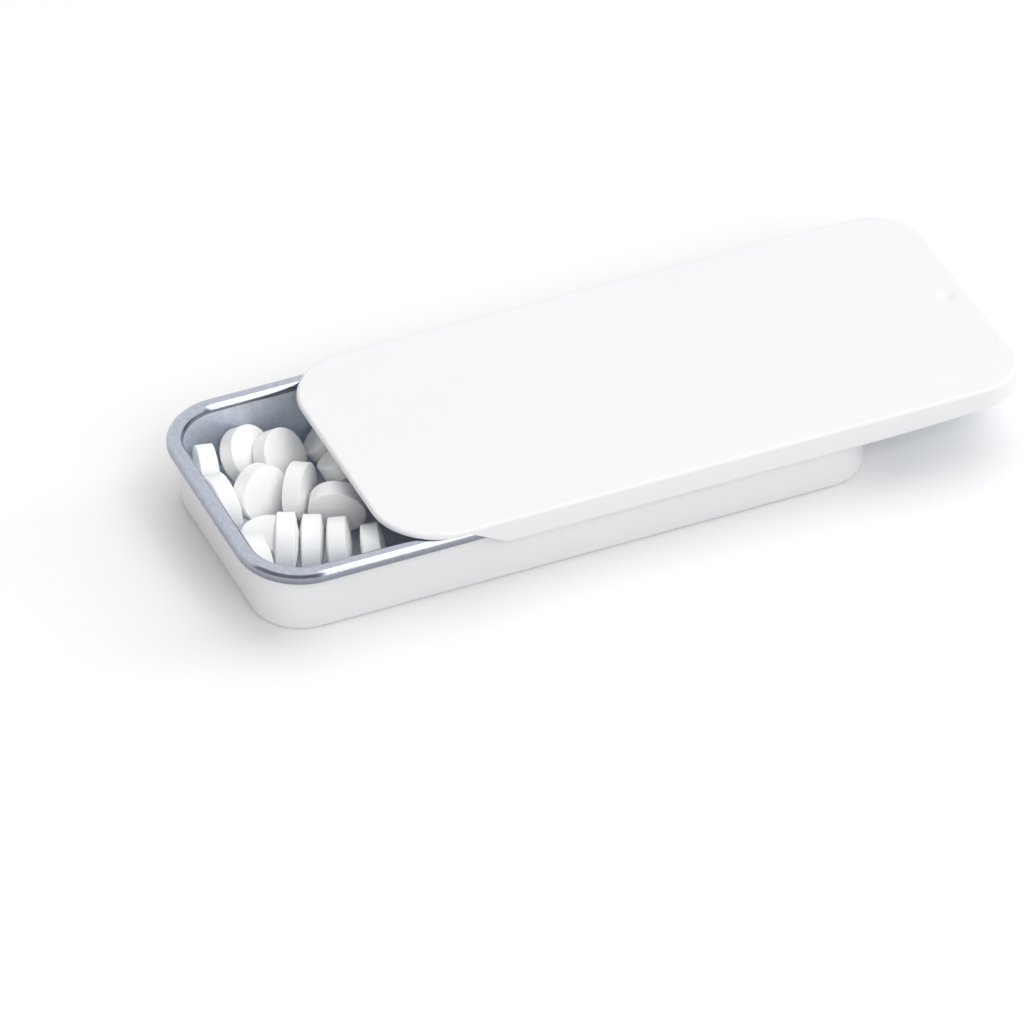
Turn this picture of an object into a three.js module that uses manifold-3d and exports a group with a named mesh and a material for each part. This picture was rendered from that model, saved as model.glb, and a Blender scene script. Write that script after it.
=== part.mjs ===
// A small slide-lid tin of mints, drawn open, in millimetres with +Z up.
// The origin is the middle of the tray's flat bottom, and +X is the way the lid slides open.
import * as THREE from "three";
import { mergeVertices } from "three/addons/utils/BufferGeometryUtils.js";
import Module from "manifold-3d";

// Tinplate
const SHEET = 0.3;

// Tray, measured over its curled rim
const RIM_LENGTH = 76;
const RIM_WIDTH = 33.9;
const RIM_CORNER_RADIUS = 7.4;
const TRAY_HEIGHT = 9;
const BEAD_DIAMETER = 1.9;
const CURL_WRAP = 295;
const BOTTOM_RADIUS = 0.5;

// Lid, and how it rides on the rim
const RIDE_GAP = 0.4;
const SIDE_CLEARANCE = 0.25;
const END_CLEARANCE = 0.3;
const LIP_GAP = 0.3;
const LIP_TO_WALL = 0.5;
const LID_FOLD_RADIUS = 0.4;
const LIP_FOLD_RADIUS = 0.5;
const FRONT_CORNER_RADIUS = 7.6;
const SKIRT_CORNER_RADIUS = 6.3;
const END_SKIRT = 2.5;
const FLANGE_START = 8;
const FLANGE_SLANT = 5.4;
const FLANGE_RISE_LENGTH = 17;
const DETENT_INSET = 2.6;
const DETENT_RADIUS = 1.1;
const DETENT_CLEARANCE = 0.1;
const LID_DRAWN = 15.65;

// Mints
const MINT_DIAMETER = 6.5;
const MINT_THICKNESS = 2.8;
const MINT_BAND = 2;
const MINT_CROWN_BREAK = 0.65;
const MINT_GAP = 0.15;
const BRIM_GAP = 0.15;
const LAYER_START = 23;
const LAYER_PLAY = 0.9;
const LAYER_SWAY = 1;
const LAYER_EMPTY_EVERY = 6;

// Fineness of the rounded forms
const CORNER_STEPS = 7;
const BEND_STEPS = 3;
const CURL_STEPS = 12;
const DETENT_SEGMENTS = 24;
const MINT_SEGMENTS = 28;
const SKIN_STEPS = 60;
const TILT_STEP = 1;
const SETTLE_ROUNDS = 200;
const FALL_STEP = 0.06;
const CUT_MARGIN = 1;

// Sizes that follow
const beadRadius = BEAD_DIAMETER / 2;
const wallHalfLength = RIM_LENGTH / 2 - BEAD_DIAMETER;
const wallHalfWidth = RIM_WIDTH / 2 - BEAD_DIAMETER;
const wallCornerRadius = RIM_CORNER_RADIUS - BEAD_DIAMETER;
const innerBottomRadius = BOTTOM_RADIUS - SHEET;
const plateUnderside = TRAY_HEIGHT + RIDE_GAP;
const lidTop = plateUnderside + SHEET;
const lidLength = RIM_LENGTH + END_CLEARANCE + SHEET;
const lidWidth = RIM_WIDTH + 2 * (SIDE_CLEARANCE + SHEET);
const lidClosedMiddle = (END_CLEARANCE + SHEET) / 2;
const lipBottom = TRAY_HEIGHT - BEAD_DIAMETER - LIP_GAP - SHEET;
const lipReach = SIDE_CLEARANCE + BEAD_DIAMETER - LIP_TO_WALL;
const detentDepth = RIDE_GAP - DETENT_CLEARANCE;
const mintRadius = MINT_DIAMETER / 2;
const mintCrown = (MINT_THICKNESS - MINT_BAND) / 2;
const brim = TRAY_HEIGHT - BRIM_GAP;

const wasm = await Module();
wasm.setup();

const lacquer = new THREE.MeshStandardMaterial({ color: 0xf2f2f4, roughness: 0.35, metalness: 0.1 });
const tinplate = new THREE.MeshStandardMaterial({ color: 0xa9b0bd, roughness: 0.4, metalness: 0.9 });
const chalk = new THREE.MeshStandardMaterial({ color: 0xf7f7f5, roughness: 0.75, metalness: 0 });

function radians(degrees) {
  return (degrees * Math.PI) / 180;
}

// Points [offset, height] of an arc in a section, both ends included
function arc(offset, height, radius, from, to, steps) {
  const points = [];
  for (let i = 0; i <= steps; i++) {
    const angle = radians(from + ((to - from) * i) / steps);
    points.push([offset + radius * Math.cos(angle), height + radius * Math.sin(angle)]);
  }
  return points;
}

// Corner arcs of a rounded rectangle, anticlockwise from the corner at +X +Y
function cornerArcs(halfLength, halfWidth, rightRadius, leftRadius) {
  const corners = [
    { x: 1, y: 1, radius: rightRadius },
    { x: -1, y: 1, radius: leftRadius },
    { x: -1, y: -1, radius: leftRadius },
    { x: 1, y: -1, radius: rightRadius },
  ];
  return corners.map(({ x, y, radius }, quarter) => ({
    x: x * (halfLength - radius),
    y: y * (halfWidth - radius),
    radius,
    from: 90 * quarter,
  }));
}

// The rounded rectangle moved outwards by an offset, at a height
function outlineRing(corners, [offset, height]) {
  return corners.flatMap(({ x, y, radius, from }) =>
    arc(x, y, radius + offset, from, from + 90, CORNER_STEPS).map(([px, py]) => [px, py, height]),
  );
}

// A closed solid that follows a section round an outline, from a cap facing down to a cap facing up
function sweepSection(corners, section) {
  const rings = section.map((point) => outlineRing(corners, point));
  const count = rings[0].length;
  const faces = [];
  for (let ring = 0; ring < rings.length - 1; ring++) {
    for (let i = 0; i < count; i++) {
      const next = (i + 1) % count;
      const [a, b] = [ring * count + i, ring * count + next];
      const [c, d] = [b + count, a + count];
      faces.push(a, b, c, a, c, d);
    }
  }
  const flat = rings[0].map(([x, y]) => new THREE.Vector2(x, y));
  const last = (rings.length - 1) * count;
  for (const [a, b, c] of THREE.ShapeUtils.triangulateShape(flat, [])) {
    faces.push(c, b, a, last + a, last + b, last + c);
  }
  const geometry = new THREE.BufferGeometry();
  geometry.setAttribute("position", new THREE.Float32BufferAttribute(rings.flat(2), 3));
  geometry.setIndex(faces);
  return geometry;
}

// A prism across the part's width from points [x, z] of its side view
function sidePrism(points, width) {
  const shape = new THREE.Shape(points.map(([x, z]) => new THREE.Vector2(x, z)));
  const geometry = new THREE.ExtrudeGeometry(shape, { depth: width, bevelEnabled: false });
  return geometry.translate(0, 0, -width / 2).rotateX(Math.PI / 2);
}

// A solid turned about the vertical from points [radius, height] that start and end on the axis
function turned(points, segments) {
  const profile = points.map(([radius, height]) => new THREE.Vector2(radius, height));
  return new THREE.LatheGeometry(profile, segments).rotateX(Math.PI / 2);
}

function solidFrom(geometry) {
  const bare = geometry.clone();
  bare.deleteAttribute("normal");
  bare.deleteAttribute("uv");
  const merged = mergeVertices(bare);
  const mesh = new wasm.Mesh({
    numProp: 3,
    vertProperties: merged.attributes.position.array,
    triVerts: new Uint32Array(merged.index.array),
  });
  return new wasm.Manifold(mesh);
}

function geometryFrom(solid) {
  const { vertProperties, triVerts } = solid.getMesh();
  const geometry = new THREE.BufferGeometry();
  geometry.setAttribute("position", new THREE.BufferAttribute(vertProperties, 3));
  geometry.setIndex(new THREE.BufferAttribute(triVerts, 1));
  geometry.computeVertexNormals();
  return geometry;
}

function namedMesh(name, geometry, material) {
  const mesh = new THREE.Mesh(geometry, material);
  mesh.name = name;
  return mesh;
}

// The tray: one drawn sheet whose edge is rolled outwards into a hollow bead
function trayGeometry() {
  const bend = SHEET - BOTTOM_RADIUS;
  const curlHeight = TRAY_HEIGHT - beadRadius;
  const curlEnd = 180 - CURL_WRAP;
  const section = [
    ...arc(bend, BOTTOM_RADIUS, BOTTOM_RADIUS, -90, 0, BEND_STEPS),
    ...arc(beadRadius, curlHeight, beadRadius - SHEET, 180, curlEnd, CURL_STEPS),
    ...arc(beadRadius, curlHeight, beadRadius, curlEnd, 180, CURL_STEPS),
    ...arc(bend, BOTTOM_RADIUS, innerBottomRadius, 0, -90, BEND_STEPS),
  ];
  const corners = cornerArcs(wallHalfLength, wallHalfWidth, wallCornerRadius, wallCornerRadius);
  return sweepSection(corners, section);
}

// A shallow round dish below a height, with its rim closed by a flat some way above
function dish(bottom, depth, top) {
  const curve = (DETENT_RADIUS ** 2 + depth ** 2) / (2 * depth);
  const half = THREE.MathUtils.radToDeg(Math.asin(DETENT_RADIUS / curve));
  const bowl = arc(0, bottom + curve, curve, -90, half - 90, BEND_STEPS);
  bowl[0][0] = 0;
  return turned([...bowl, [DETENT_RADIUS, top], [0, top]], DETENT_SEGMENTS);
}

// The lid: a drawn cap whose sides fold in under the bead, trimmed open at the front, with a pressed detent
function lidGeometry() {
  const section = [
    ...arc(-LID_FOLD_RADIUS, lidTop - LID_FOLD_RADIUS, LID_FOLD_RADIUS - SHEET, 90, 0, BEND_STEPS),
    ...arc(-LIP_FOLD_RADIUS, lipBottom + LIP_FOLD_RADIUS, LIP_FOLD_RADIUS - SHEET, 0, -90, BEND_STEPS),
    [-lipReach, lipBottom + SHEET],
    [-lipReach, lipBottom],
    ...arc(-LIP_FOLD_RADIUS, lipBottom + LIP_FOLD_RADIUS, LIP_FOLD_RADIUS, -90, 0, BEND_STEPS),
    ...arc(-LID_FOLD_RADIUS, lidTop - LID_FOLD_RADIUS, LID_FOLD_RADIUS, 0, 90, BEND_STEPS),
  ];
  const back = lidLength / 2;
  const front = -back;
  const corners = cornerArcs(back, lidWidth / 2, SKIRT_CORNER_RADIUS, FRONT_CORNER_RADIUS);
  const below = lipBottom - CUT_MARGIN;
  const skirtBottom = lidTop - END_SKIRT;
  const frontTrim = [
    [front - CUT_MARGIN, below],
    [front + FLANGE_START + FLANGE_SLANT, below],
    [front + FLANGE_START + FLANGE_SLANT, lipBottom],
    [front + FLANGE_START, plateUnderside],
    [front - CUT_MARGIN, plateUnderside],
  ];
  const backTrim = [
    [back - SKIRT_CORNER_RADIUS - FLANGE_RISE_LENGTH, below],
    [back + CUT_MARGIN, below],
    [back + CUT_MARGIN, skirtBottom],
    [back - SKIRT_CORNER_RADIUS, skirtBottom],
    [back - SKIRT_CORNER_RADIUS - FLANGE_RISE_LENGTH, lipBottom],
  ];
  const trimWidth = lidWidth + 2 * CUT_MARGIN;
  const detent = back - DETENT_INSET;
  const bump = dish(plateUnderside - detentDepth, detentDepth, lidTop - SHEET / 2).translate(detent, 0, 0);
  const hollow = dish(lidTop - detentDepth, detentDepth, lidTop + CUT_MARGIN).translate(detent, 0, 0);
  const lid = solidFrom(sweepSection(corners, section))
    .subtract(solidFrom(sidePrism(frontTrim, trimWidth)))
    .subtract(solidFrom(sidePrism(backTrim, trimWidth)))
    .add(solidFrom(bump))
    .subtract(solidFrom(hollow));
  return geometryFrom(lid);
}

// Half a mint's thickness at a radius: a straight band with a low crown on both faces
function mintHalfThickness(radius) {
  return MINT_BAND / 2 + mintCrown * (1 - (radius / mintRadius) ** 2);
}

// A mint's section from the middle of its lower face to the middle of its upper one
const mintRadii = [0, MINT_CROWN_BREAK * mintRadius, mintRadius];
const mintSection = [
  ...mintRadii.map((radius) => [radius, -mintHalfThickness(radius)]),
  ...mintRadii.map((radius) => [radius, mintHalfThickness(radius)]).reverse(),
];

// Points spread over a mint's skin, which feel for what it touches
const mintSkin = [...mintSection, [mintRadius, 0]].flatMap(([radius, height]) => {
  const steps = radius > 0 ? SKIN_STEPS : 1;
  const ring = [];
  for (let i = 0; i < steps; i++) {
    const angle = (2 * Math.PI * i) / steps;
    ring.push(new THREE.Vector3(radius * Math.cos(angle), radius * Math.sin(angle), height));
  }
  return ring;
});

function tiltedHeight(lean) {
  const [rise, level] = [Math.sin(radians(lean)), Math.cos(radians(lean))];
  return 2 * Math.max(...mintSection.map(([radius, height]) => radius * rise + height * level));
}

// The tilt of a mint, as far as the depth below the brim lets it stand up
function steepest(lean) {
  const room = brim - SHEET - MINT_GAP;
  while (lean > 0 && tiltedHeight(lean) > room) {
    lean -= TILT_STEP;
  }
  return lean;
}

// A mint at a place, tipped by lean degrees from lying flat towards heading degrees from +X
function tippedMint([along, across, height, lean, heading]) {
  const mint = new THREE.Object3D();
  mint.position.set(along - wallHalfLength, across, height);
  mint.rotation.set(0, radians(steepest(lean)), radians(heading), "ZYX");
  mint.updateMatrixWorld();
  return mint;
}

function shiftMint(mint, way) {
  mint.position.add(way);
  mint.updateMatrixWorld();
}

// The shortest way that takes the deepest point of one mint's skin out of another mint
function wayOut(mint, other) {
  const toOther = other.matrixWorld.clone().invert().multiply(mint.matrixWorld);
  const point = new THREE.Vector3();
  const way = new THREE.Vector3();
  let deepest = 0;
  for (const skin of mintSkin) {
    point.copy(skin).applyMatrix4(toOther);
    const radius = Math.hypot(point.x, point.y);
    const toBand = mintRadius + MINT_GAP - radius;
    const toFace = mintHalfThickness(Math.min(radius, mintRadius)) + MINT_GAP - Math.abs(point.z);
    const depth = Math.min(toBand, toFace);
    if (depth > deepest) {
      deepest = depth;
      way.set(toBand < toFace ? point.x : 0, toBand < toFace ? point.y : 0, toBand < toFace ? 0 : point.z);
      way.setLength(depth);
    }
  }
  return way.applyQuaternion(other.quaternion);
}

// Two mints that press into each other share the way apart
function partMints(mint, other) {
  const away = wayOut(mint, other);
  const back = wayOut(other, mint).negate();
  const half = (away.length() > back.length() ? away : back).divideScalar(2);
  shiftMint(mint, half);
  shiftMint(other, half.clone().negate());
}

// How far a place lies beyond the tray's inner wall, less than zero inside it, and the way back in
function beyondWall({ x, y }) {
  const acrossX = Math.abs(x) - wallHalfLength + wallCornerRadius;
  const acrossY = Math.abs(y) - wallHalfWidth + wallCornerRadius;
  const inCorner = acrossX > 0 && acrossY > 0;
  const inward = new THREE.Vector3(
    inCorner || acrossX > acrossY ? -Math.sign(x) * Math.max(acrossX, 0) : 0,
    inCorner || acrossX <= acrossY ? -Math.sign(y) * Math.max(acrossY, 0) : 0,
    0,
  );
  return { beyond: inward.length() - wallCornerRadius, inward };
}

// Moves a mint in from the walls, up from the floor and the bend round it, and down from the brim
function keepInTray(mint) {
  const point = new THREE.Vector3();
  const push = new THREE.Vector3();
  let worst = 0;
  let lift = 0;
  let duck = 0;
  for (const skin of mintSkin) {
    point.copy(skin).applyMatrix4(mint.matrixWorld);
    const { beyond, inward } = beyondWall(point);
    const low = THREE.MathUtils.clamp(BOTTOM_RADIUS - point.z, 0, innerBottomRadius);
    const bend = innerBottomRadius - Math.sqrt(innerBottomRadius ** 2 - low ** 2);
    const excess = beyond + bend + MINT_GAP;
    if (excess > worst) {
      worst = excess;
      push.copy(inward).setLength(excess);
    }
    lift = Math.max(lift, SHEET + MINT_GAP - point.z);
    duck = Math.max(duck, point.z - brim);
  }
  push.z = lift - duck;
  shiftMint(mint, push);
}

// Lets the mints down together, step by step, until each rests on the floor or on another
function settle(mints) {
  const fall = new THREE.Vector3();
  for (let round = 0; round < SETTLE_ROUNDS; round++) {
    fall.z = -FALL_STEP * (1 - round / SETTLE_ROUNDS);
    mints.forEach((mint) => shiftMint(mint, fall));
    mints.forEach((mint, index) => {
      for (const other of mints.slice(index + 1)) {
        if (mint.position.distanceTo(other.position) < MINT_DIAMETER + MINT_THICKNESS) {
          partMints(mint, other);
        }
      }
    });
    mints.forEach(keepInTray);
  }
  return mints;
}

// The heap at the open end: [from the left wall, from the middle, height] in mint diameters, lean, heading
const HEAP = [
  [0.25, -0.98, 0.65, 90, 0],
  [0.68, -0.92, 0.85, 90, -24],
  [1.12, -0.8, 0.57, 90, -24],
  [1.68, -1.14, 0.57, 84, -24],
  [2.15, -1.54, 0.57, 80, -20],
  [0.2, 1.66, 0.71, 90, -12],
  [0.89, 0.74, 0.58, 74, -68],
  [2.98, 0.98, 0.29, 0, 0],
  [1.32, 1.82, 0.57, 54, -54],
  [1.69, 1.32, 0.57, 54, -54],
  [1.97, -0.06, 0.6, 78, 60],
  [1.63, 0.58, 0.62, 84, -40],
  [2.49, 1.78, 0.51, 48, 150],
  [2.49, 0.74, 0.83, 34, 130],
  [0.22, 0.65, 0.77, 84, 4],
  [0.71, -0.14, 0.28, 0, 0],
];

function heapPlace([along, across, height, lean, heading]) {
  return [along * MINT_DIAMETER, across * MINT_DIAMETER, height * MINT_DIAMETER, lean, heading];
}

// One loose layer lying flat under the lid, swayed out of line, with some places left empty
function flatLayer() {
  const pitch = MINT_DIAMETER + LAYER_PLAY;
  const columns = Math.floor((2 * wallHalfLength - LAYER_START) / pitch);
  const rows = Math.floor((2 * wallHalfWidth) / pitch);
  const places = [];
  for (let place = 0; place < columns * rows; place++) {
    if (place % LAYER_EMPTY_EVERY > 0) {
      const along = LAYER_START + pitch * (Math.floor(place / rows) + 1 / 2);
      const across = pitch * ((place % rows) - (rows - 1) / 2);
      const sway = [LAYER_SWAY * Math.sin(place ** 2), LAYER_SWAY * Math.cos(place ** 2)];
      places.push([along + sway[0], across + sway[1], MINT_THICKNESS, 0, 0]);
    }
  }
  return places;
}

const tin = new THREE.Group();
tin.add(namedMesh("tin_tray", trayGeometry(), tinplate));

const lid = namedMesh("slide_lid", lidGeometry(), lacquer);
lid.position.x = lidClosedMiddle + LID_DRAWN;
tin.add(lid);

const mintGeometry = turned(mintSection, MINT_SEGMENTS);
const poured = settle([...HEAP.map(heapPlace), ...flatLayer()].map(tippedMint));
poured.forEach((place, index) => {
  const mint = namedMesh(`mint_${String(index + 1).padStart(2, "0")}`, mintGeometry, chalk);
  mint.position.copy(place.position);
  mint.quaternion.copy(place.quaternion);
  tin.add(mint);
});

export default tin;
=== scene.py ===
import math
import random

import bmesh
import bpy
import numpy as np
from mathutils import Matrix, Vector


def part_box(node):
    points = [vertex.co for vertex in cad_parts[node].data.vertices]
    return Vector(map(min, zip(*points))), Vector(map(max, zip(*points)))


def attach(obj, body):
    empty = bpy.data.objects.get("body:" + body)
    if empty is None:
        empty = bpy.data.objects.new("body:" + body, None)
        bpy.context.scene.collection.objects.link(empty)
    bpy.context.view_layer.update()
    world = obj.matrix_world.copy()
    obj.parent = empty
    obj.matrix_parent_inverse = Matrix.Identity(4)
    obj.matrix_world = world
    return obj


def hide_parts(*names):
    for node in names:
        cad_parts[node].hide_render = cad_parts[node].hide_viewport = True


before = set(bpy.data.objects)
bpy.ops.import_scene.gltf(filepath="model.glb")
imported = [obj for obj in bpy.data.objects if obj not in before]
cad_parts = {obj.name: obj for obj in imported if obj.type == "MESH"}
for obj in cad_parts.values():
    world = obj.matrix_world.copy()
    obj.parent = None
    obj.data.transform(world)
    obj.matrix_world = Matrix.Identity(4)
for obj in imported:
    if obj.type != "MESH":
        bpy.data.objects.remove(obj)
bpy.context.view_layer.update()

MM = 0.001
SEED = 7

# Sizes that the frame gives
tray_low, tray_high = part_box("tin_tray")
lid_low, lid_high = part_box("slide_lid")
MINTS = sorted(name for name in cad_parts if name.startswith("mint_"))

# Tinplate and its folds, as in the solids
SHEET = 0.3 * MM
BEAD_RADIUS = 0.95 * MM
CURL_WRAP = 295
RIM_CORNER_RADIUS = 7.4 * MM
BOTTOM_RADIUS = 0.5 * MM
LID_FOLD_RADIUS = 0.4 * MM
LIP_FOLD_RADIUS = 0.5 * MM
LIP_REACH = 1.65 * MM
FRONT_CORNER_RADIUS = 7.6 * MM
SKIRT_CORNER_RADIUS = 6.3 * MM
END_SKIRT = 2.5 * MM
FLANGE_START = 8 * MM
FLANGE_SLANT = 5.4 * MM
FLANGE_RISE_LENGTH = 17 * MM
DETENT_INSET = 2.6 * MM

# Finer forms of the lid: its front edge rolls down a little, and its detent is softer than the solid's
FRONT_ROLL = 0.55 * MM
DETENT_RADIUS = 1.3 * MM
DETENT_DEPTH = 0.2 * MM

# Pressed mints, whose worn edges waver by the sum of a few waves
MINT_RADIUS = 3.25 * MM
MINT_BAND = 2 * MM
MINT_CROWN = 0.4 * MM
MINT_EDGE = 0.14 * MM
MINT_WAVER = 0.02 * MM
WAVES = 5
WAVE_COUNTS = (2, 9)
WAVE_SIZES = (0.2, 1)
WAVE_TWIST = 900
WAVER_FADE = 4

# Fineness
CORNER_STEPS = 28
SIDE_STEPS = 24
LONGEST_SPAN = 4 * MM
BEND_STEPS = 8
CURL_STEPS = 60
DETENT_SEGMENTS = 64
DETENT_RINGS = 12
MINT_SEGMENTS = 72
MINT_CROWN_RINGS = 9
MINT_EDGE_RINGS = 5
MINT_BAND_RINGS = 4
SHARP_ANGLE = math.radians(35)
CUT_MARGIN = 2 * MM

# Finishes, each from its lowest to its highest value
LACQUER_TONES = ((0.836, 0.837, 0.850), (0.844, 0.845, 0.857))
LACQUER_ROUGHNESS = (0.38, 0.42)
INSIDE_TONES = ((0.64, 0.70, 0.79), (0.80, 0.85, 0.93))
INSIDE_ROUGHNESS = (0.38, 0.48)
BEAD_TONES = ((0.44, 0.475, 0.565), (0.53, 0.56, 0.64))
BEAD_ROUGHNESS = (0.17, 0.24)
SUGAR_TONES = ((0.955, 0.955, 0.952), (0.975, 0.975, 0.972))
SUGAR_ROUGHNESS = (0.62, 0.8)
CLOTH_TONES = (0.30, 0.36)

# How far across the lumps and grains of a finish are
LACQUER_DRIFT = 18 * MM
LACQUER_SHEEN = 6 * MM
LACQUER_PEEL = 0.12 * MM
TIN_MOTTLE = 0.8 * MM
TIN_SPECK = 0.3 * MM
TIN_SHEEN = 0.5 * MM
TIN_GRAIN = 0.3 * MM
SUGAR_DRIFT = 1.6 * MM
SUGAR_PIT_SHADE = 0.22 * MM
SUGAR_SHEEN = 0.4 * MM
SUGAR_GRAIN = 0.16 * MM
SUGAR_LUMP = 0.9 * MM
CLOTH_WEAVE = 2 * MM

# Stops of the ramps: where a noise mostly lies, its peaks, its troughs for the painted shade in the mints'
# pits, and how far a surface faces up for the bead's painted shade
NOISE_SPAN = (0.3, 0.7)
SPECK_STOPS = ((0.66, 0.0), (0.76, 0.5))
PIT_SHADE_STOPS = ((0.27, 0.93), (0.4, 1.0))
BEAD_PAINTED_SHADE_STOPS = ((0.0, 0.55), (0.4, 0.75), (0.75, 1.0))

# Camera, fitted to the straight edges in the photograph
CAMERA_PLACE = Vector((-317.1025, -717.7118, 612.6732)) * MM
CAMERA_TARGET = Vector((-2.4345, -2.3884, -2.2909)) * MM
CAMERA_ROLL = math.radians(0.0718)
CAMERA_LENS = 316.406
CAMERA_REACH = 20
SENSOR_WIDTH = 36

# Studio
FLOOR_SIZE = 6
FLOOR_DROP = 0.02 * MM
FLOOR_STOPS = ((0, 0.78), (1, 0.93))
SKY_STOPS = ((0, 0.19), (1, 1.0))
KEY_DIRECTION = Vector((0.45, 0.30, 0.85))
KEY_LEVEL = 1.72
KEY_SPREAD = math.radians(72)
BOXES = {
    "front_box": {
        "towards": Vector((-0.15, -0.76, 0.63)),
        "distance": 2.25,
        "size": (1.5, 1.0),
        "power": 17,
        "glints": False,
    },
    "strip_box": {
        "towards": Vector((0.345, -0.738, 0.581)),
        "distance": 1.75,
        "size": (0.32, 2.4),
        "power": 9,
        "glints": True,
    },
    "right_box": {
        "towards": Vector((0.95, -0.05, 0.32)),
        "distance": 1.8,
        "size": (0.9, 0.6),
        "power": 8,
        "glints": False,
    },
    "left_box": {
        "towards": Vector((-0.96, 0.05, 0.27)),
        "distance": 1.8,
        "size": (0.9, 0.6),
        "power": 6.5,
        "glints": False,
    },
}
FLAG_DISTANCE = 2.6
FLAG_START = -50
FLAG_END = -190
FLAG_HEIGHTS = (0.02, 2.8)
FLAG_STEPS = 24

LACQUER, TINPLATE, BEAD = 0, 1, 2


# Shapes

def arc(offset, height, radius, start, end, steps):
    """Points (offset, height) of an arc in a section, from start to end in degrees."""
    angles = np.radians(np.linspace(start, end, steps + 1))
    return [(offset + radius * math.cos(a), height + radius * math.sin(a)) for a in angles]


def outline(half_length, half_width, right_radius, left_radius):
    """A rounded rectangle, anticlockwise, as points with their outward directions."""
    corners = [
        (1, 1, right_radius, 0),
        (-1, 1, left_radius, 90),
        (-1, -1, left_radius, 180),
        (1, -1, right_radius, 270),
    ]
    points = []
    for sx, sy, radius, start in corners:
        centre = Vector((sx * (half_length - radius), sy * (half_width - radius)))
        for angle in np.radians(np.linspace(start, start + 90, CORNER_STEPS + 1)):
            out = Vector((math.cos(angle), math.sin(angle)))
            points.append((centre + radius * out, out))
    split = []
    for (here, out), (there, _) in zip(points, points[1:] + points[:1]):
        split.append((here, out))
        if (there - here).length > LONGEST_SPAN:
            split += [(here.lerp(there, i / SIDE_STEPS), out) for i in range(1, SIDE_STEPS)]
    return split


def ring_edges(bm, ring):
    """The edges round a closed ring of vertices."""
    return [bm.edges.get(ends) for ends in zip(ring, ring[1:] + ring[:1])]


def swept(path, section, finishes, dimple=None):
    """A closed shell: a section swept round an outline, its first ring filled below and its last above."""
    bm = bmesh.new()
    rings = []
    for offset, height in section:
        rings.append([bm.verts.new((*(p + offset * out), height)) for p, out in path])
    count = len(path)
    for row, (lower, upper) in enumerate(zip(rings, rings[1:])):
        for i in range(count):
            j = (i + 1) % count
            face = bm.faces.new((lower[i], lower[j], upper[j], upper[i]))
            face.material_index = finishes[row]
    for ring, up, finish in ((rings[0], -1, finishes[0]), (rings[-1], 1, finishes[-1])):
        edges = ring_edges(bm, ring)
        if dimple:
            edges += pressed_dimple(bm, *dimple, ring[0].co.z, up, finish)
        filled = bmesh.ops.triangle_fill(bm, edges=edges, use_beauty=True, normal=(0, 0, up))
        for face in filled["geom"]:
            if isinstance(face, bmesh.types.BMFace):
                face.material_index = finish
                if face.normal.z * up < 0:
                    face.normal_flip()
    return bm


def pressed_dimple(bm, x, y, height, up, finish):
    """A round dimple pressed down into a plate at a height, as rings; gives its rim's edges."""
    angles = [2 * math.pi * i / DETENT_SEGMENTS for i in range(DETENT_SEGMENTS)]
    rings = []
    for step in range(1, DETENT_RINGS + 1):
        share = step / DETENT_RINGS
        level = height - DETENT_DEPTH * (1 + math.cos(math.pi * share)) / 2
        reach = DETENT_RADIUS * share
        spots = [(x + reach * math.cos(a), y + reach * math.sin(a), level) for a in angles]
        rings.append([bm.verts.new(spot) for spot in spots])
    middle = bm.verts.new((x, y, height - DETENT_DEPTH))
    faces = []
    for i in range(DETENT_SEGMENTS):
        j = (i + 1) % DETENT_SEGMENTS
        faces.append(bm.faces.new((middle, rings[0][i], rings[0][j])))
        for inner, outer in zip(rings, rings[1:]):
            faces.append(bm.faces.new((inner[i], outer[i], outer[j], inner[j])))
    for face in faces:
        face.material_index = finish
        face.normal_update()
        if face.normal.z * up < 0:
            face.normal_flip()
    return ring_edges(bm, rings[-1])


def piece(name, bm, materials):
    """An object from a bmesh, smooth but for its sharp edges."""
    mesh = bpy.data.meshes.new(name)
    bm.to_mesh(mesh)
    bm.free()
    for material in materials:
        mesh.materials.append(material)
    made = bpy.data.objects.new(name, mesh)
    bpy.context.scene.collection.objects.link(made)
    soften(made)
    return made


def soften(made):
    """Shades an object smooth, apart from its sharp edges."""
    made.data.polygons.foreach_set("use_smooth", [True] * len(made.data.polygons))
    made.data.set_sharp_from_angle(angle=SHARP_ANGLE)
    made.data.update()


def prism(profile, half_width):
    """A solid with a side profile (x, z), across the width."""
    bm = bmesh.new()
    near = [bm.verts.new((x, -half_width, z)) for x, z in profile]
    far = [bm.verts.new((x, half_width, z)) for x, z in profile]
    bm.faces.new(near)
    bm.faces.new(reversed(far))
    for i in range(len(profile)):
        j = (i + 1) % len(profile)
        bm.faces.new((near[j], near[i], far[i], far[j]))
    bmesh.ops.recalc_face_normals(bm, faces=bm.faces)
    for face in bm.faces:
        face.material_index = TINPLATE
    return bm


def trim(made, cutters):
    """Cuts solids away from a piece."""
    for cutter in cutters:
        cut = made.modifiers.new("trim", "BOOLEAN")
        cut.operation = "DIFFERENCE"
        cut.solver = "EXACT"
        cut.material_mode = "INDEX"
        cut.object = cutter
    graph = bpy.context.evaluated_depsgraph_get()
    mesh = bpy.data.meshes.new_from_object(made.evaluated_get(graph))
    made.modifiers.clear()
    old = made.data
    made.data = mesh
    bpy.data.meshes.remove(old)
    for cutter in cutters:
        bpy.data.objects.remove(cutter)
    soften(made)


# Materials

def nodes_of(name):
    """A new material, its nodes and its shader."""
    material = bpy.data.materials.new(name)
    material.use_nodes = True
    tree = material.node_tree
    shader = next(n for n in tree.nodes if n.type == "BSDF_PRINCIPLED")
    return material, tree, shader


def object_space(tree):
    """Coordinates in metres that stay with the piece."""
    return tree.nodes.new("ShaderNodeTexCoord").outputs["Object"]


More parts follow.
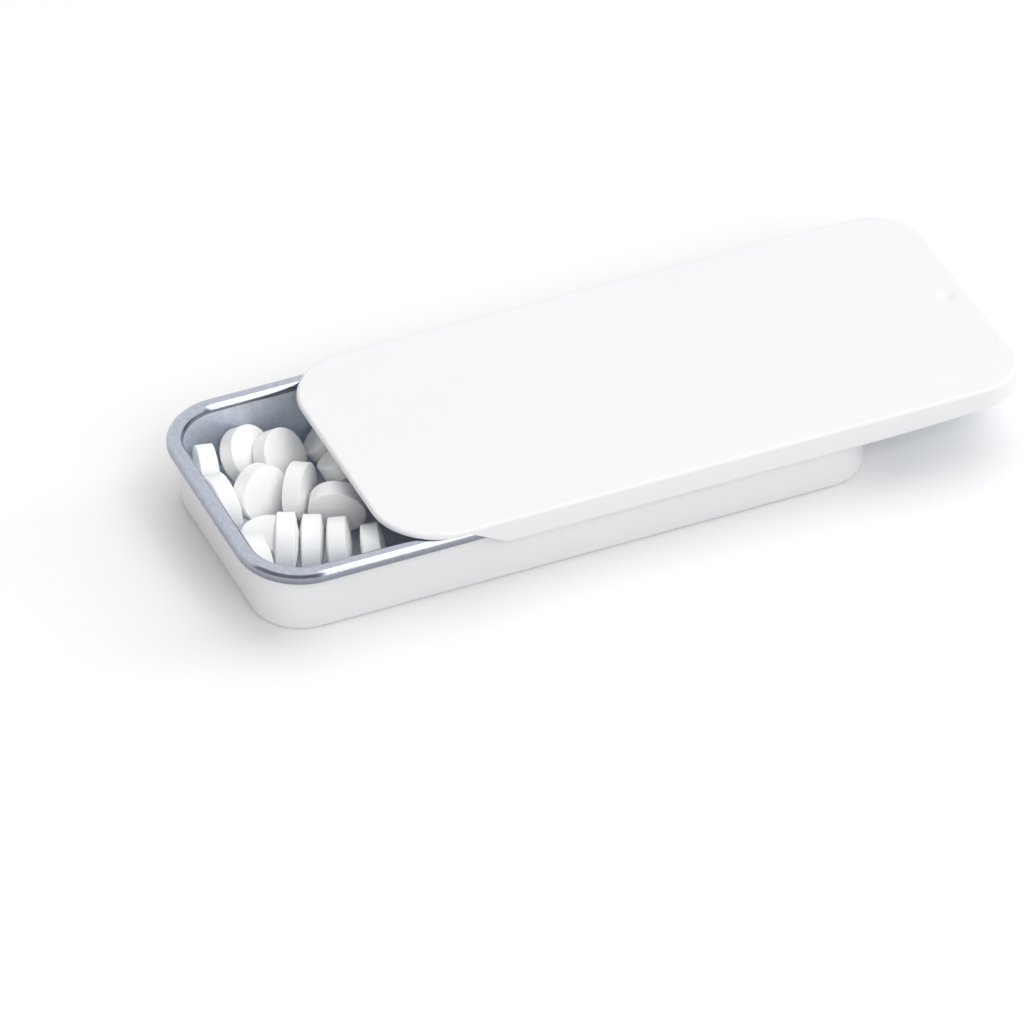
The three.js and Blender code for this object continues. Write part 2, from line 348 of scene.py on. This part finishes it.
def noise(tree, vector, size, detail=3.0, roughness=0.5):
    """A noise whose lumps are about a size across."""
    made = tree.nodes.new("ShaderNodeTexNoise")
    made.inputs["Scale"].default_value = 1 / size
    made.inputs["Detail"].default_value = detail
    made.inputs["Roughness"].default_value = roughness
    tree.links.new(vector, made.inputs["Vector"])
    return made.outputs["Fac"]


def ramp(tree, factor, stops):
    """Colours or greys along a factor."""
    made = tree.nodes.new("ShaderNodeValToRGB")
    elements = made.color_ramp.elements
    while len(elements) < len(stops):
        elements.new(0.5)
    for element, (place, colour) in zip(elements, stops):
        element.position = place
        element.color = (*colour, 1) if isinstance(colour, tuple) else (colour, colour, colour, 1)
    tree.links.new(factor, made.inputs["Fac"])
    return made.outputs["Color"]


def spread(tree, factor, lowest_and_highest):
    """Two colours or greys over the span in which a noise mostly lies."""
    return ramp(tree, factor, list(zip(NOISE_SPAN, lowest_and_highest)))


def mix(tree, blend, a, b, amount):
    """One colour laid over another by a blend mode."""
    made = tree.nodes.new("ShaderNodeMix")
    made.data_type = "RGBA"
    made.blend_type = blend
    made.inputs["Factor"].default_value = amount
    tree.links.new(a, made.inputs["A"])
    tree.links.new(b, made.inputs["B"])
    return made.outputs["Result"]


def bump(tree, height, strength, distance, normal=None):
    """A normal that a height disturbs, on top of another normal if there is one."""
    made = tree.nodes.new("ShaderNodeBump")
    made.inputs["Strength"].default_value = strength
    made.inputs["Distance"].default_value = distance
    tree.links.new(height, made.inputs["Height"])
    if normal:
        tree.links.new(normal, made.inputs["Normal"])
    return made.outputs["Normal"]


def lacquer_material():
    """White stoved lacquer on tinplate: a faint orange peel, and a tone that drifts very slightly."""
    material, tree, shader = nodes_of("white_lacquer")
    place = object_space(tree)
    tone = spread(tree, noise(tree, place, LACQUER_DRIFT), LACQUER_TONES)
    sheen = spread(tree, noise(tree, place, LACQUER_SHEEN), LACQUER_ROUGHNESS)
    peel = bump(tree, noise(tree, place, LACQUER_PEEL, detail=2), strength=0.04, distance=0.004 * MM)
    tree.links.new(tone, shader.inputs["Base Color"])
    tree.links.new(sheen, shader.inputs["Roughness"])
    tree.links.new(peel, shader.inputs["Normal"])
    shader.inputs["Specular IOR Level"].default_value = 0.4
    return material


def tinplate_material(name, tones, roughness, metallic):
    """Bare tinplate: bluish grey, mottled, with pale specks and a fine grain. Gives its colour too."""
    material, tree, shader = nodes_of(name)
    place = object_space(tree)
    mottle = spread(tree, noise(tree, place, TIN_MOTTLE, detail=6, roughness=0.65), tones)
    specks = ramp(tree, noise(tree, place, TIN_SPECK, detail=2), SPECK_STOPS)
    colour = mix(tree, "SCREEN", mottle, specks, amount=0.5)
    sheen = spread(tree, noise(tree, place, TIN_SHEEN, detail=4), roughness)
    grain = bump(tree, noise(tree, place, TIN_GRAIN), strength=0.1, distance=0.04 * MM)
    tree.links.new(colour, shader.inputs["Base Color"])
    tree.links.new(sheen, shader.inputs["Roughness"])
    tree.links.new(grain, shader.inputs["Normal"])
    shader.inputs["Metallic"].default_value = metallic
    return material, tree, shader, colour


def inside_material():
    """The tray's inside and the lid's underside: dull, so that it takes light from all round."""
    return tinplate_material("dull_tinplate", INSIDE_TONES, INSIDE_ROUGHNESS, metallic=0.6)[0]


def bead_material():
    """The rolled rim, burnished by the curling dies, with painted shade: darker the further it turns from
    the top.
    """
    material, tree, shader, colour = tinplate_material(
        "burnished_bead", BEAD_TONES, BEAD_ROUGHNESS, metallic=1
    )
    # Painted shade: the colour darkens as the surface turns from facing up to facing out and down
    facing = tree.nodes.new("ShaderNodeSeparateXYZ")
    tree.links.new(tree.nodes.new("ShaderNodeNewGeometry").outputs["Normal"], facing.inputs[0])
    painted_shade = ramp(tree, facing.outputs["Z"], BEAD_PAINTED_SHADE_STOPS)
    tree.links.new(mix(tree, "MULTIPLY", colour, painted_shade, amount=1), shader.inputs["Base Color"])
    return material


def mint_material():
    """Pressed sugar: a dry white, with grains, painted shade in small pits, and a little light inside."""
    material, tree, shader = nodes_of("pressed_sugar")
    place = object_space(tree)
    tone = spread(tree, noise(tree, place, SUGAR_DRIFT, detail=4), SUGAR_TONES)
    # Painted shade: faint dark spots where small pits would hold shade
    pit_shade = ramp(tree, noise(tree, place, SUGAR_PIT_SHADE), PIT_SHADE_STOPS)
    sheen = spread(tree, noise(tree, place, SUGAR_SHEEN), SUGAR_ROUGHNESS)
    grain = bump(tree, noise(tree, place, SUGAR_GRAIN), strength=0.18, distance=0.03 * MM)
    lumps = bump(tree, noise(tree, place, SUGAR_LUMP), strength=0.12, distance=0.08 * MM, normal=grain)
    tree.links.new(mix(tree, "MULTIPLY", tone, pit_shade, amount=0.5), shader.inputs["Base Color"])
    tree.links.new(sheen, shader.inputs["Roughness"])
    tree.links.new(lumps, shader.inputs["Normal"])
    shader.inputs["Specular IOR Level"].default_value = 0.3
    shader.inputs["Subsurface Weight"].default_value = 0.2
    shader.inputs["Subsurface Radius"].default_value = (1, 1, 0.97)
    shader.inputs["Subsurface Scale"].default_value = 0.6 * MM
    return material


lacquer = lacquer_material()
tinplate = inside_material()
burnished = bead_material()
sugar = mint_material()

# Tray
rim_half_length = (tray_high.x - tray_low.x) / 2
rim_half_width = (tray_high.y - tray_low.y) / 2
wall_inset = 2 * BEAD_RADIUS
wall_corner_radius = RIM_CORNER_RADIUS - wall_inset
tray_path = outline(
    rim_half_length - wall_inset, rim_half_width - wall_inset, wall_corner_radius, wall_corner_radius
)
curl_height = tray_high.z - BEAD_RADIUS
curl_end = 180 - CURL_WRAP
bend = SHEET - BOTTOM_RADIUS
outer = [
    *arc(bend, BOTTOM_RADIUS, BOTTOM_RADIUS, -90, 0, BEND_STEPS),
    *arc(BEAD_RADIUS, curl_height, BEAD_RADIUS - SHEET, 180, curl_end, CURL_STEPS),
]
inner = [
    *arc(BEAD_RADIUS, curl_height, BEAD_RADIUS, curl_end, 180, CURL_STEPS),
    *arc(bend, BOTTOM_RADIUS, BOTTOM_RADIUS - SHEET, 0, -90, BEND_STEPS),
]
tray_finishes = [LACQUER] * (len(outer) - 1) + [BEAD] * (CURL_STEPS + 1) + [TINPLATE] * (BEND_STEPS + 1)
tray = piece("tray_shell", swept(tray_path, outer + inner, tray_finishes), [lacquer, tinplate, burnished])
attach(tray, "tray")
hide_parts("tin_tray")

# Lid, built about its own middle and then set where the solid lies
lid_half_length = (lid_high.x - lid_low.x) / 2
lid_half_width = (lid_high.y - lid_low.y) / 2
lid_middle = (lid_high.x + lid_low.x) / 2
lid_top = lid_high.z
lip_bottom = lid_low.z
front = -lid_half_length
back = lid_half_length
lid_path = outline(lid_half_length, lid_half_width, SKIRT_CORNER_RADIUS, FRONT_CORNER_RADIUS)
fold_height = lid_top - LID_FOLD_RADIUS
lip_height = lip_bottom + LIP_FOLD_RADIUS
inside = [
    (-LID_FOLD_RADIUS - SHEET, lid_top - SHEET),
    *arc(-LID_FOLD_RADIUS, fold_height, LID_FOLD_RADIUS - SHEET, 90, 0, BEND_STEPS),
    *arc(-LIP_FOLD_RADIUS, lip_height, LIP_FOLD_RADIUS - SHEET, 0, -90, BEND_STEPS),
    (-LIP_REACH, lip_bottom + SHEET),
]
outside = [
    (-LIP_REACH, lip_bottom),
    *arc(-LIP_FOLD_RADIUS, lip_height, LIP_FOLD_RADIUS, -90, 0, BEND_STEPS),
    *arc(-LID_FOLD_RADIUS, fold_height, LID_FOLD_RADIUS, 0, 90, BEND_STEPS),
    (-LID_FOLD_RADIUS - SHEET, lid_top),
]
lid_finishes = [TINPLATE] * len(inside) + [LACQUER] * (len(outside) - 1)
lid_shape = swept(lid_path, inside + outside, lid_finishes, (back - DETENT_INSET, 0))
lid = piece("lid_shell", lid_shape, [lacquer, tinplate])
below = lip_bottom - CUT_MARGIN
roll_bottom = lid_top - FRONT_ROLL
skirt_bottom = lid_top - END_SKIRT
flange_run = FLANGE_SLANT / (lid_top - SHEET - lip_bottom)
front_trim = [
    (front - CUT_MARGIN, below),
    (front + FLANGE_START + FLANGE_SLANT, below),
    (front + FLANGE_START + FLANGE_SLANT, lip_bottom),
    (front + FLANGE_START + flange_run * (lid_top - SHEET - roll_bottom), roll_bottom),
    (front - CUT_MARGIN, roll_bottom),
]
back_trim = [
    (back - SKIRT_CORNER_RADIUS - FLANGE_RISE_LENGTH, below),
    (back + CUT_MARGIN, below),
    (back + CUT_MARGIN, skirt_bottom),
    (back - SKIRT_CORNER_RADIUS, skirt_bottom),
    (back - SKIRT_CORNER_RADIUS - FLANGE_RISE_LENGTH, lip_bottom),
]
trim_half_width = lid_half_width + CUT_MARGIN
cutters = [
    piece("front_trim", prism(front_trim, trim_half_width), [tinplate]),
    piece("back_trim", prism(back_trim, trim_half_width), [tinplate]),
]
trim(lid, cutters)
lid.data.transform(Matrix.Translation((lid_middle, 0, 0)))
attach(lid, "lid")
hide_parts("slide_lid")


# Mints

def mint_section():
    """Points (radius, height) from the middle of the lower face to the middle of the upper one."""
    half_band = MINT_BAND / 2
    slope = math.degrees(math.atan(2 * MINT_CROWN / MINT_RADIUS))
    upper = arc(MINT_RADIUS - MINT_EDGE, half_band - MINT_EDGE, MINT_EDGE, 0, 90 - slope, MINT_EDGE_RINGS)
    start, join = upper[-1]
    rise = half_band + MINT_CROWN - join
    for step in range(1, MINT_CROWN_RINGS + 1):
        radius = start * (1 - step / MINT_CROWN_RINGS)
        upper.append((radius, join + rise * (1 - (radius / start) ** 2)))
    steps = range(1 - MINT_BAND_RINGS, MINT_BAND_RINGS)
    band = [(MINT_RADIUS, (half_band - MINT_EDGE) * i / MINT_BAND_RINGS) for i in steps]
    return [(r, -z) for r, z in reversed(upper)] + band + upper


def mint_mesh(rng):
    """A pressed mint about its own middle, its edge a little worn and uneven."""
    bm = bmesh.new()
    section = mint_section()
    waves = [
        (rng.randint(*WAVE_COUNTS), rng.uniform(0, 2 * math.pi), rng.uniform(*WAVE_SIZES))
        for _ in range(WAVES)
    ]
    rings = []
    for radius, height in section[1:-1]:
        ring = []
        edge = (radius / MINT_RADIUS) ** WAVER_FADE
        twist = WAVE_TWIST * height
        for i in range(MINT_SEGMENTS):
            angle = 2 * math.pi * i / MINT_SEGMENTS
            waver = sum(size * math.sin(n * angle + phase + twist) for n, phase, size in waves) / WAVES
            reach = radius - MINT_WAVER * edge * (1 + waver)
            ring.append(bm.verts.new((reach * math.cos(angle), reach * math.sin(angle), height)))
        rings.append(ring)
    bottom = bm.verts.new((0, 0, section[0][1]))
    top = bm.verts.new((0, 0, section[-1][1]))
    for i in range(MINT_SEGMENTS):
        j = (i + 1) % MINT_SEGMENTS
        bm.faces.new((bottom, rings[0][j], rings[0][i]))
        bm.faces.new((top, rings[-1][i], rings[-1][j]))
        for lower, upper in zip(rings, rings[1:]):
            bm.faces.new((lower[i], lower[j], upper[j], upper[i]))
    return bm


def mint_place(node):
    """Where a mint's solid lies: its middle, and its axis as the direction in which it is thinnest."""
    points = np.array([v.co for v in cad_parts[node].data.vertices])
    middle = points.mean(0)
    _, axes = np.linalg.eigh(np.cov((points - middle).T))
    axis = Vector(axes[:, 0])
    if axis.z < 0:
        axis.negate()
    return Vector(middle), axis


rng = random.Random(SEED)
for node in MINTS:
    middle, axis = mint_place(node)
    shape = mint_mesh(rng)
    spin = Matrix.Rotation(rng.uniform(0, 2 * math.pi), 4, "Z")
    turn = axis.to_track_quat("Z", "Y").to_matrix().to_4x4()
    bmesh.ops.transform(shape, matrix=Matrix.Translation(middle) @ turn @ spin, verts=shape.verts)
    sweet = piece("sweet_" + node[-2:], shape, [sugar])
    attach(sweet, "tray")
    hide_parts(node)


# Floor, lamps and camera

def seen_white(tree):
    """1 for rays from the camera, a mirror or through glass, and 0 for light that bounces."""
    path = tree.nodes.new("ShaderNodeLightPath")
    total = path.outputs["Is Camera Ray"]
    for name in ("Is Glossy Ray", "Is Transmission Ray"):
        larger = tree.nodes.new("ShaderNodeMath")
        larger.operation = "MAXIMUM"
        tree.links.new(total, larger.inputs[0])
        tree.links.new(path.outputs[name], larger.inputs[1])
        total = larger.outputs[0]
    return total


def floor_material():
    """A pale floor, a little paler where it is seen than in the light that it throws back."""
    material = bpy.data.materials.new("pale_floor")
    material.use_nodes = True
    tree = material.node_tree
    tree.nodes.clear()
    output = tree.nodes.new("ShaderNodeOutputMaterial")
    shader = tree.nodes.new("ShaderNodeBsdfDiffuse")
    tone = ramp(tree, seen_white(tree), FLOOR_STOPS)
    tree.links.new(tone, shader.inputs["Color"])
    tree.links.new(shader.outputs[0], output.inputs["Surface"])
    return material


def floor_shape():
    """One square."""
    bm = bmesh.new()
    half = FLOOR_SIZE / 2
    corners = ((-half, -half), (half, -half), (half, half), (-half, half))
    bm.faces.new([bm.verts.new((x, y, -FLOOR_DROP)) for x, y in corners])
    return bm


def flag_material():
    """Grey cloth."""
    material, tree, shader = nodes_of("grey_cloth")
    tone = spread(tree, noise(tree, object_space(tree), CLOTH_WEAVE), CLOTH_TONES)
    tree.links.new(tone, shader.inputs["Base Color"])
    shader.inputs["Roughness"].default_value = 0.9
    return material


def flag_shape():
    """An upright cloth, hung along an arc round the tin."""
    bm = bmesh.new()
    angles = np.radians(np.linspace(FLAG_START, FLAG_END, FLAG_STEPS + 1))
    low, high = (
        [bm.verts.new((FLAG_DISTANCE * math.cos(a), FLAG_DISTANCE * math.sin(a), height)) for a in angles]
        for height in FLAG_HEIGHTS
    )
    for i in range(FLAG_STEPS):
        bm.faces.new((low[i], low[i + 1], high[i + 1], high[i]))
    return bm


def soft_box(name, towards, distance, size, power, glints):
    """A flat lamp that faces the tin from a direction, and that metal mirrors only if it glints."""
    data = bpy.data.lights.new(name, "AREA")
    data.shape = "RECTANGLE"
    data.size, data.size_y = size
    data.energy = power
    lamp = bpy.data.objects.new(name, data)
    away = towards.normalized()
    up = away.cross(Vector((1, 0, 0))).normalized()
    lamp.location = away * distance
    lamp.rotation_euler = Matrix((up.cross(away), up, away)).transposed().to_euler()
    lamp.visible_glossy = glints
    bpy.context.scene.collection.objects.link(lamp)


floor = piece("floor", floor_shape(), [floor_material()])

# The flag, in front and to the left, only gives the bright metal something darker to mirror
flag = piece("flag", flag_shape(), [flag_material()])
flag.visible_camera = False
flag.visible_diffuse = False
flag.visible_transmission = False
flag.visible_shadow = False

world = bpy.data.worlds.new("studio")
bpy.context.scene.world = world
world.use_nodes = True
sky = world.node_tree.nodes["Background"]
sky.inputs["Color"].default_value = (1, 1, 1, 1)
level = ramp(world.node_tree, seen_white(world.node_tree), SKY_STOPS)
world.node_tree.links.new(level, sky.inputs["Strength"])

key_data = bpy.data.lights.new("key", "SUN")
key_data.energy = KEY_LEVEL
key_data.angle = KEY_SPREAD
key = bpy.data.objects.new("key", key_data)
key.rotation_euler = KEY_DIRECTION.to_track_quat("Z", "Y").to_euler()
key.visible_glossy = False
bpy.context.scene.collection.objects.link(key)

for name, box in BOXES.items():
    soft_box(name, **box)

camera_data = bpy.data.cameras.new("camera")
camera_data.lens = CAMERA_LENS
camera_data.sensor_width = SENSOR_WIDTH
camera_data.clip_end = CAMERA_REACH
camera = bpy.data.objects.new("camera", camera_data)
aim = (CAMERA_TARGET - CAMERA_PLACE).to_track_quat("-Z", "Y").to_matrix().to_4x4()
camera.matrix_world = Matrix.Translation(CAMERA_PLACE) @ aim @ Matrix.Rotation(CAMERA_ROLL, 4, "Z")
bpy.context.scene.collection.objects.link(camera)
bpy.context.scene.camera = camera
bpy.context.scene.view_settings.view_transform = "Standard"
